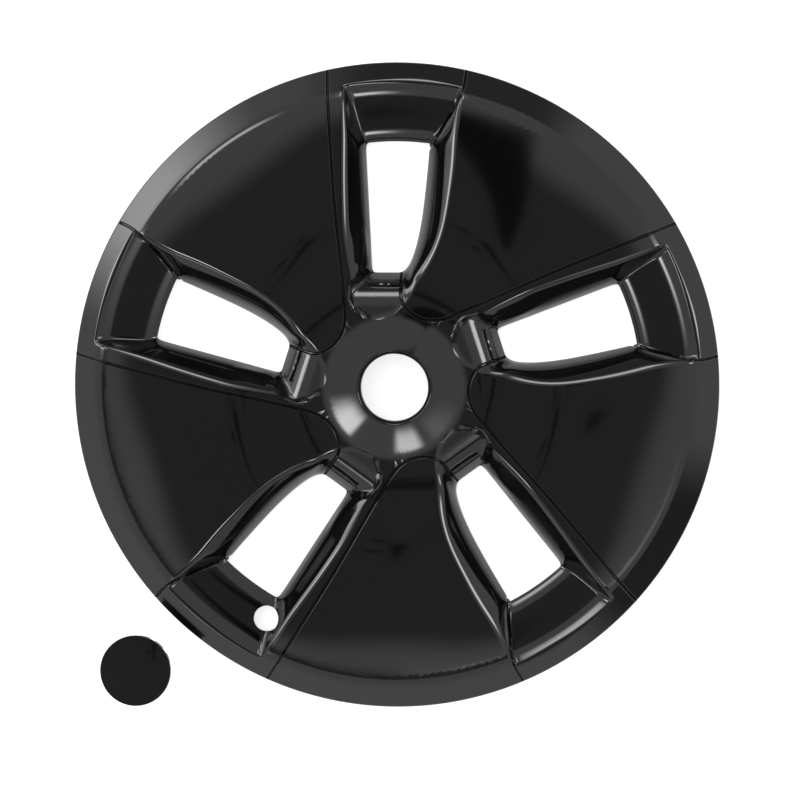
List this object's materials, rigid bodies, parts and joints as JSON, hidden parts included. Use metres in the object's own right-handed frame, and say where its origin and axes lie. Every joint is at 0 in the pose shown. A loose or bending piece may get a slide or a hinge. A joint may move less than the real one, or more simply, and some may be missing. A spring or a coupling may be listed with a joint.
{
  "type": "wheel cover",
  "caption": "Round gloss black wheel cover with broad blades between long windows, fine moulded grooves, a centre hole and a loose snap-in cap.",
  "frame": {"origin": "on the wheel's axis, in the plane of the cover's back edge", "axes": "+Z out of the face along the wheel's axis, +Y towards the middle of one window"},
  "size_m": [0.49, 0.4899, 0.0334],
  "materials": {
    "shell": "gloss black moulded plastic",
    "cap": "gloss black moulded plastic"
  },
  "bodies": {
    "root": {"cover_shell": "shell", "centre_cap": "cap"}
  },
  "joints": []
}
